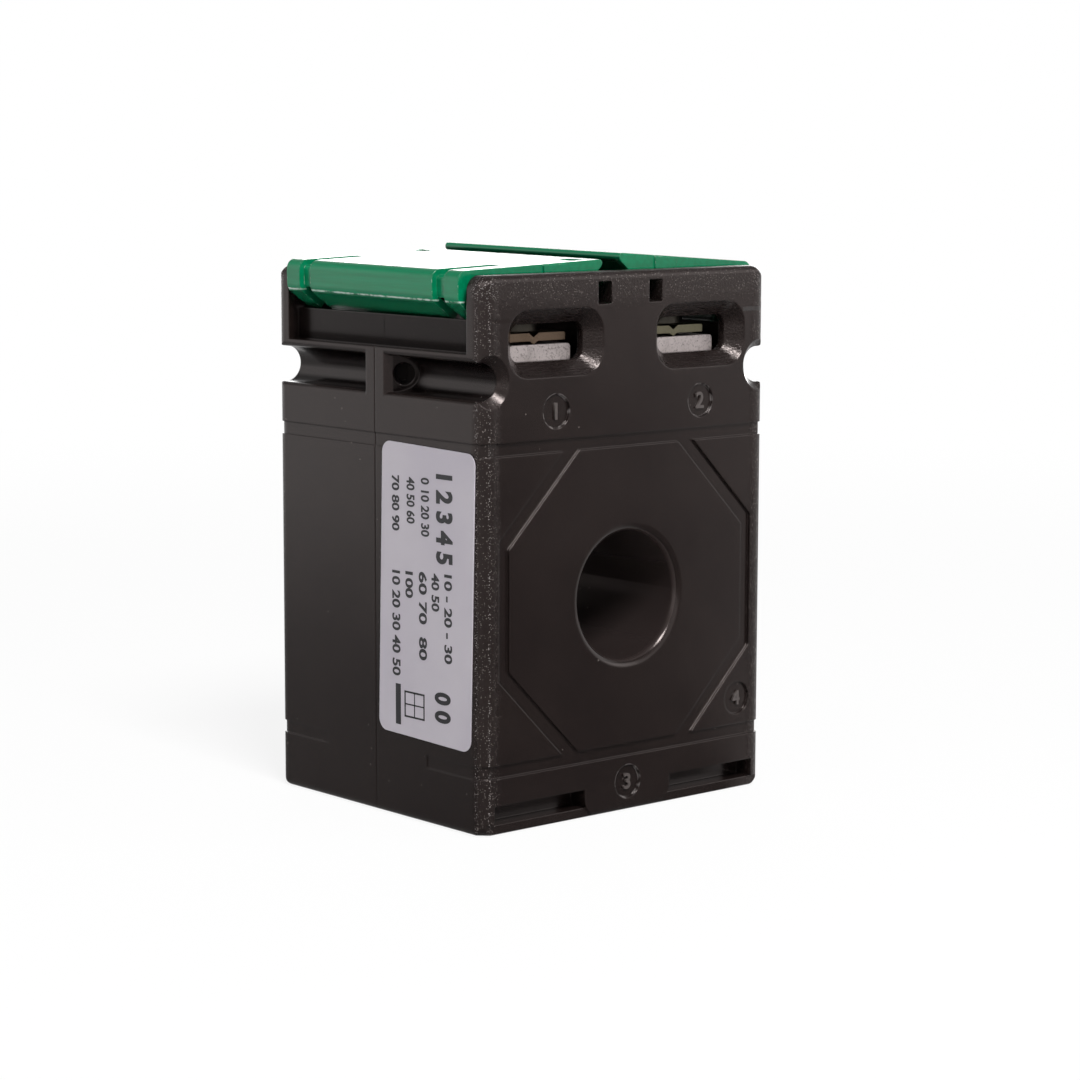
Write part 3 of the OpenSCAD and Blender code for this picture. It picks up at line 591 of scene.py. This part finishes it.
marks = {
    "rise": 0.26 * mm,
    "weight": 0.05 * mm,
    "sink": 0.3 * mm,  # how far the floor of a mark lies behind the face
    # digit, place across, place up, height of the digit; all in millimetres
    "places": [
        ("1", -11.4, 48.15, 2.7),
        ("2", 11.4, 48.15, 2.7),
        ("3", 0.0, 3.55, 2.6),
        ("4", 18.0, 11.35, 2.4),
    ],
}


def flatText(words, size, thickness, weight):
    # a line of text in the XY plane, centred on the origin and raised along +Z
    curve = bpy.data.curves.new("text", "FONT")
    curve.body = words
    curve.size = size
    curve.align_x = "CENTER"
    curve.align_y = "CENTER"
    curve.extrude = thickness / 2
    curve.offset = weight
    curve.resolution_u = 6
    textObject = bpy.data.objects.new("text", curve)
    bpy.context.scene.collection.objects.link(textObject)
    bpy.context.view_layer.update()
    mesh = bpy.data.meshes.new_from_object(textObject.evaluated_get(bpy.context.evaluated_depsgraph_get()))
    bpy.data.objects.remove(textObject)
    corners = cornersOf(mesh)
    corners -= (corners.min(axis=0) + corners.max(axis=0)) / 2
    corners[:, 2] += thickness / 2
    mesh.vertices.foreach_set("co", corners.ravel())
    return mesh


def placePiece(name, mesh, matrix, body, finish):
    mesh.transform(matrix)
    mesh.materials.clear()
    mesh.materials.append(finish)
    pieceObject = bpy.data.objects.new(name, mesh)
    bpy.context.scene.collection.objects.link(pieceObject)
    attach(pieceObject, body)


def raisedNumbers():
    # the rear half mirrors the front half, so a mark on the right in front is on the left from behind
    look = marks
    for side, turn, across in (("front", 0.0, 1.0), ("rear", math.pi, -1.0)):
        for digit, x, z, size in look["places"]:
            mesh = flatText(digit, size * mm, look["rise"], look["weight"])
            facing = (Matrix.Translation((across * x * mm, look["sink"] - housing["halfDepth"], z * mm))
                      @ Matrix.Rotation(math.pi / 2, 4, "X"))
            matrix = Matrix.Rotation(turn, 4, "Z") @ facing
            placePiece(f"{side}_mark_{digit}", mesh, matrix, "housing", finishes["mark"])


raisedNumbers()
print("numbers in the marks")

labelPrint = {
    "thickness": 0.012 * mm,
    "middle": (-9.5 * mm, 26.95 * mm),  # of the label, in depth and up
    "tilt": math.radians(0.1),
    "fontSize": 1.4,  # size of the font for letters of height 1, before they are fitted
    # words, place across, place up, length, letter height, added weight; all in millimetres
    "lines": [
        ("1 2 3 4 5", 3.40, 9.01, 10.3, 3.0, 0.19),
        ("0 10 20 30", -0.07, 10.13, 6.8, 1.5, 0.06),
        ("40 50 60", -2.70, 10.69, 5.4, 1.5, 0.06),
        ("70 80 90", -5.50, 10.15, 6.5, 1.4, 0.06),
        ("10 - 20 - 30", 4.05, -2.38, 10.3, 1.4, 0.06),
        ("40 50", 1.75, 0.47, 4.4, 1.4, 0.06),
        ("60 70  80", -0.53, -2.55, 10.3, 1.5, 0.06),
        ("100", -3.04, 0.83, 3.1, 1.4, 0.06),
        ("10 20 30 40 50", -5.46, -3.94, 12.4, 1.5, 0.06),
        ("0 0", 3.02, -12.79, 3.6, 2.9, 0.18),
    ],
    # plain strokes: from across and up, to across and up, width; all in millimetres
    "strokes": [
        (-5.16, -15.38, -5.16, -11.54, 0.95),
        (-3.90, -14.70, -0.40, -14.70, 0.22),
        (-3.90, -11.80, -0.40, -11.80, 0.22),
        (-3.90, -14.70, -3.90, -11.80, 0.22),
        (-0.40, -14.70, -0.40, -11.80, 0.22),
        (-3.90, -13.25, -0.40, -13.25, 0.16),
        (-2.15, -14.70, -2.15, -11.80, 0.16),
    ],
}


def fitText(mesh, length, height):
    # stretches a centred text to the given length and letter height
    corners = cornersOf(mesh)
    size = corners.max(axis=0) - corners.min(axis=0)
    corners[:, 0] *= length / size[0]
    corners[:, 1] *= height / size[1]
    mesh.vertices.foreach_set("co", corners.ravel())


def flatStrokes(strokes, thickness):
    # each stroke is a thin block: the box round its two ends, widened by half the width to every side
    ends = np.array(strokes) * mm
    half = ends[:, 4:] / 2
    low = np.minimum(ends[:, 0:2], ends[:, 2:4]) - half
    high = np.maximum(ends[:, 0:2], ends[:, 2:4]) + half
    ring = np.stack([low, np.column_stack([high[:, 0], low[:, 1]]),
                     high, np.column_stack([low[:, 0], high[:, 1]])], axis=1)
    bottom = np.concatenate([ring, np.zeros(ring.shape[:2] + (1,))], axis=2)
    top = np.concatenate([ring, np.full(ring.shape[:2] + (1,), thickness)], axis=2)
    corners = np.concatenate([bottom, top], axis=1).reshape(-1, 3)
    block = np.array([(3, 2, 1, 0), (4, 5, 6, 7), (0, 1, 5, 4), (1, 2, 6, 5), (2, 3, 7, 6), (3, 0, 4, 7)])
    faces = (np.arange(len(strokes))[:, None, None] * 8 + block[None]).reshape(-1, 4)
    mesh = bpy.data.meshes.new("strokes")
    mesh.from_pydata(corners.tolist(), [], faces.tolist())
    return mesh


def printLabel():
    # the lines run down the label with their tops towards its front edge
    look = labelPrint
    upright = Matrix(((0, 0, -1, 0), (-1, 0, 0, 0), (0, 1, 0, 0), (0, 0, 0, 1)))
    stand = (Matrix.Translation((labelFace, *look["middle"])) @ upright
             @ Matrix.Rotation(look["tilt"], 4, "Z"))
    quarter = Matrix.Rotation(-math.pi / 2, 4, "Z")
    for number, (words, across, up, length, letterHeight, weight) in enumerate(look["lines"]):
        mesh = flatText(words, letterHeight * look["fontSize"] * mm, look["thickness"], weight * mm)
        fitText(mesh, length * mm, letterHeight * mm)
        onLabel = Matrix.Translation((across * mm, up * mm, 0))
        placePiece(f"label_line_{number + 1}", mesh, stand @ onLabel @ quarter, "housing",
                   finishes["print"])
    placePiece("label_strokes", flatStrokes(look["strokes"], look["thickness"]), stand, "housing",
               finishes["print"])


printLabel()
print("label printed")


# stage, lamps and camera

stageLook = {
    "floorSide": 3.0,  # half the side of the floor, in metres, as every length here
    "floorColour": (0.92, 0.92, 0.92, 1),
    "shadow": 0.13,  # how much of the floor that the camera sees is lit paint, the rest is plain white
    "shadowReach": (0.12, 0.45),  # distances at which the paint starts to give way to white, and is gone
    "white": (1, 1, 1, 1),
    # brightness of the floor in reflections, close to the object and further off, and where it changes
    "nearGlow": 0.15,
    "farGlow": 0.42,
    "glowReach": (0.35, 0.95),
    # the same behind the left side: heading, and where and how much is added, close by and further off
    "sideHeading": (-0.70, 0.71, 0.0),
    "sideReach": (-0.045, 0.055),
    "sideGlow": 0.16,
    "sideFarReach": (0.03, 0.60),
    "sideFarGlow": 1.20,
    # the same in front on the right: place to the side over place ahead, and how much is added
    "frontReach": (0.82, 1.08),
    "frontGlow": 0.50,
    "frontFrom": 1.0 * mm,  # keeps the division from zero
    # the sky: light that it gives, and height from horizon 0 to zenith 1 over which its reflection fades
    "skyDiffuse": 0.15,
    "skyReach": (0.28, 0.62),
    "skyGlow": 0.22,
}

lamps = [
    # name, place, aimed at, width, height, power
    ("key", (-0.23, -0.66, 0.84), (0.0, 0.0, 0.03), 0.36, 0.36, 12.5),
    ("fill", (0.80, -0.70, 0.40), (0.0, 0.0, 0.03), 0.40, 0.60, 1.0),
    ("left", (-0.90, 0.10, 0.50), (0.0, 0.0, 0.03), 0.50, 0.50, 0.5),
    ("rear", (0.62, 0.72, 0.16), (0.0, 0.0, 0.06), 0.90, 0.34, 4.0),
]


def floorGlow(tree, place, reach):
    # brightness of the floor in reflections: by distance, behind the left side, and in front on the right
    look = stageLook
    aside = doVector(tree, "DOT_PRODUCT", place, look["sideHeading"])
    across, along = splitPlace(tree, place)[:2]
    ahead = doMath(tree, "MAXIMUM", doMath(tree, "MULTIPLY", along, -1.0), look["frontFrom"])
    glow = doMath(
        tree, "ADD",
        fadeBetween(tree, reach, *look["glowReach"], look["nearGlow"], look["farGlow"]),
        fadeBetween(tree, aside, *look["sideReach"], 0.0, look["sideGlow"]),
        fadeBetween(tree, aside, *look["sideFarReach"], 0.0, look["sideFarGlow"]),
        fadeBetween(tree, doMath(tree, "DIVIDE", across, ahead), *look["frontReach"], 0.0, look["frontGlow"]))
    return doMath(tree, "MINIMUM", glow, 1.0)


def buildFloor():
    look = stageLook
    side = look["floorSide"]
    mesh = bpy.data.meshes.new("floor")
    corners = [(-side, -side, 0), (side, -side, 0), (side, side, 0), (-side, side, 0)]
    mesh.from_pydata(corners, [], [(0, 1, 2, 3)])
    floor = bpy.data.objects.new("floor", mesh)
    bpy.context.scene.collection.objects.link(floor)
    material, tree, output = newMaterial("pale floor")
    path = addNode(tree, "ShaderNodeLightPath").outputs
    place = objectPlace(tree)
    reach = doVector(tree, "LENGTH", place)
    paint = addNode(tree, "ShaderNodeBsdfDiffuse", {"Color": look["floorColour"]}).outputs[0]
    white = addNode(tree, "ShaderNodeEmission", {"Color": look["white"], "Strength": 1.0}).outputs[0]
    mirror = addNode(tree, "ShaderNodeEmission",
                     {"Color": look["white"], "Strength": floorGlow(tree, place, reach)}).outputs[0]
    whiteShare = doMath(tree, "MULTIPLY", path["Is Camera Ray"],
                        fadeBetween(tree, reach, *look["shadowReach"], 1.0 - look["shadow"], 1.0))
    seen = addNode(tree, "ShaderNodeMixShader", {0: whiteShare, 1: paint, 2: white}).outputs[0]
    reflected = doMath(tree, "MAXIMUM", path["Is Glossy Ray"], path["Is Transmission Ray"])
    mixed = addNode(tree, "ShaderNodeMixShader", {0: reflected, 1: seen, 2: mirror})
    tree.links.new(mixed.outputs[0], output.inputs[0])
    mesh.materials.append(material)


def buildSky():
    # white to the camera, white low down and dimmer above in reflections, and a faint light on everything
    look = stageLook
    world = bpy.data.worlds.new("studio")
    bpy.context.scene.world = world
    world.use_nodes = True
    tree = world.node_tree
    tree.nodes.clear()
    output = tree.nodes.new("ShaderNodeOutputWorld")
    path = addNode(tree, "ShaderNodeLightPath").outputs
    seen = doMath(tree, "MAXIMUM", path["Is Camera Ray"], path["Is Glossy Ray"], path["Is Transmission Ray"])
    upward = splitPlace(tree, addNode(tree, "ShaderNodeTexCoord").outputs["Generated"])[2]
    sky = doMath(tree, "MAXIMUM", path["Is Camera Ray"],
                 fadeBetween(tree, upward, *look["skyReach"], 1.0, look["skyGlow"]))
    strength = doMath(tree, "ADD", doMath(tree, "MULTIPLY", seen, sky),
                      fadeBetween(tree, seen, 0.0, 1.0, look["skyDiffuse"], 0.0))
    glow = addNode(tree, "ShaderNodeBackground", {"Color": look["white"], "Strength": strength})
    tree.links.new(glow.outputs[0], output.inputs[0])


def buildLamps():
    for name, place, aim, width, height, power in lamps:
        data = bpy.data.lights.new(name, "AREA")
        data.shape = "RECTANGLE"
        data.size = width
        data.size_y = height
        data.energy = power
        lamp = bpy.data.objects.new(name, data)
        lamp.location = place
        lamp.rotation_euler = (Vector(place) - Vector(aim)).to_track_quat("Z", "Y").to_euler()
        lamp.visible_camera = False
        bpy.context.scene.collection.objects.link(lamp)


cameraSettings = {
    "place": (-232.80 * mm, -270.19 * mm, 79.48 * mm),
    # degrees: heading from +Y towards +X, downward look, and lean of the picture
    "azimuth": 41.12,
    "elevation": 7.85,
    "roll": 0.142,
    # millimetres, as Blender has them
    "lens": 98.304333,
    "sensorWidth": 36.0,
    "clip": (0.01, 20.0),
}


def buildCamera():
    look = cameraSettings
    azimuth, elevation, roll = (math.radians(look[key]) for key in ("azimuth", "elevation", "roll"))
    level = math.cos(elevation)
    forward = Vector((math.sin(azimuth) * level, math.cos(azimuth) * level, -math.sin(elevation)))
    right = Vector((math.cos(azimuth), -math.sin(azimuth), 0.0))
    up = right.cross(forward)
    turnedRight = right * math.cos(roll) + up * math.sin(roll)
    turnedUp = up * math.cos(roll) - right * math.sin(roll)
    data = bpy.data.cameras.new("camera")
    data.sensor_width = look["sensorWidth"]
    data.lens = look["lens"]
    data.clip_start, data.clip_end = look["clip"]
    camera = bpy.data.objects.new("camera", data)
    turned = Matrix((turnedRight, turnedUp, -forward)).transposed().to_4x4()
    camera.matrix_world = Matrix.Translation(look["place"]) @ turned
    bpy.context.scene.collection.objects.link(camera)
    bpy.context.scene.camera = camera


buildFloor()
buildSky()
buildLamps()
buildCamera()
bpy.context.scene.view_settings.view_transform = "Standard"
print("stage, lamps and camera set")
